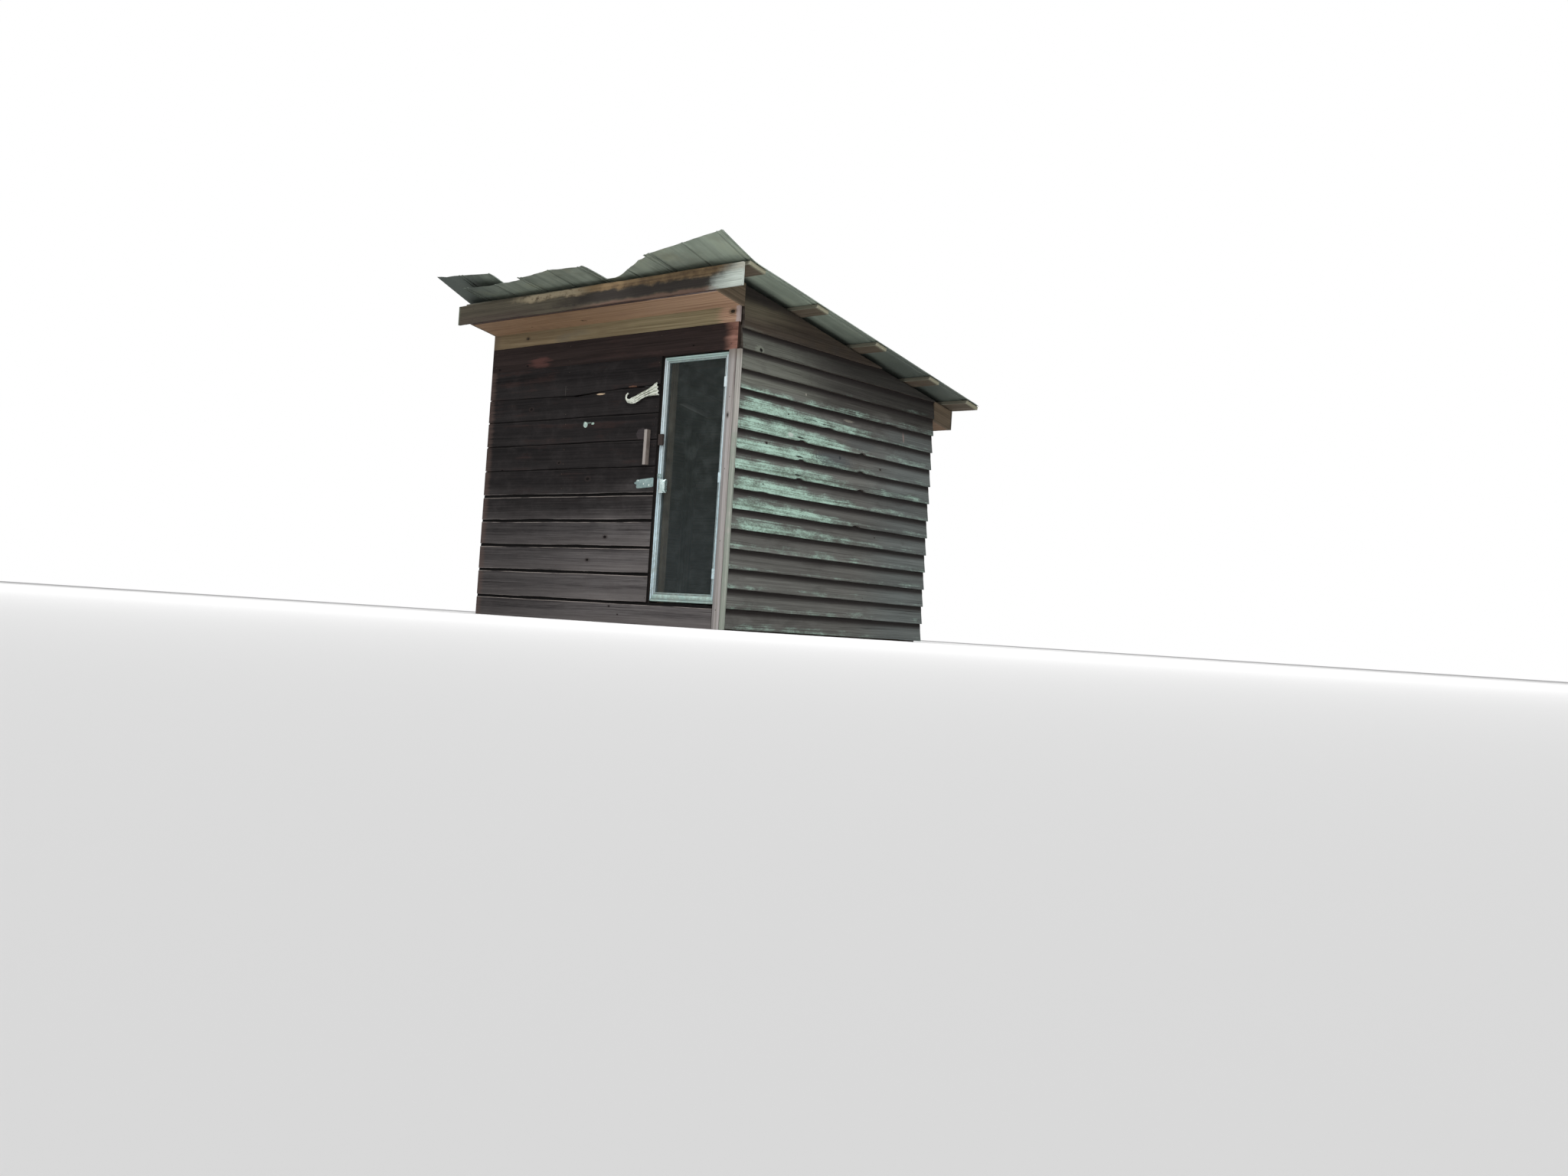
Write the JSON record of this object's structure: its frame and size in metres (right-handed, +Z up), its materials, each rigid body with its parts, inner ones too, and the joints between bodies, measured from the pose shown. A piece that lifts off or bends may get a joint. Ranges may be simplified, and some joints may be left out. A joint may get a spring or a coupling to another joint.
{
  "type": "wooden outhouse",
  "caption": "Small board-sided wooden outhouse with a lean-to crimped metal roof, boxed eaves, lapped side boards and a hinged screen door in the front wall.",
  "frame": {"origin": "on the floor under the middle of the roof's outline", "axes": "+Z up, -Y towards the front wall and the door, +X towards the wall beside the door's hinges"},
  "size_m": [2.77, 2.84, 2.3745],
  "materials": {
    "framing": "rough-sawn, unpainted",
    "eave_boards": "sheltered, orange-brown",
    "front_boards": "weathered dark",
    "side_boards": "weathered grey with lichen",
    "corner_boards": "weathered pinkish grey",
    "roof_metal": "dull galvanised",
    "galvanised": "dull galvanised",
    "door_frame": "mill, weathered",
    "insect_mesh": "woven screen",
    "bright_metal": "worn chrome",
    "cloth": "off-white rag"
  },
  "bodies": {
    "building": {"front_sill": "framing", "back_sill": "framing", "side_sills": "framing", "left_front_post": "framing", "right_front_post": "framing", "back_posts": "framing", "door_stud": "framing", "door_stop": "framing", "door_lintel": "framing", "wall_studs": "framing", "front_plate": "framing", "back_plate": "framing", "rafters": "framing", "purlins": "eave_boards", "roof_sheet_1": "roof_metal", "roof_sheet_2": "roof_metal", "roof_sheet_3": "roof_metal", "roof_sheet_4": "roof_metal", "roof_sheet_5": "roof_metal", "front_fascia": "eave_boards", "front_sub_fascia": "eave_boards", "back_fascia": "eave_boards", "front_soffit": "eave_boards", "back_soffit": "eave_boards", "front_cheeks": "side_boards", "back_cheeks": "side_boards", "frieze_board": "eave_boards", "header_board": "front_boards", "front_siding": "front_boards", "base_board": "front_boards", "corner_board": "corner_boards", "right_siding": "side_boards", "left_siding": "side_boards", "back_siding": "side_boards", "door_block": "corner_boards", "hasp_plate": "galvanised", "hinge_plates": "galvanised", "rag": "cloth"},
    "door": {"latch_stile": "door_frame", "hinge_stile": "door_frame", "top_rail": "door_frame", "bottom_rail": "door_frame", "door_mesh": "insect_mesh", "catch_block": "front_boards", "door_latch": "bright_metal", "hinge_leaves": "galvanised"}
  },
  "joints": [
    {"name": "door_hinge", "type": "hinge", "parent": "building", "child": "door", "pos_m": [1.069, -0.951, 0.9], "axis": [0, 0, 1], "range_deg": [0, 105]}
  ]
}
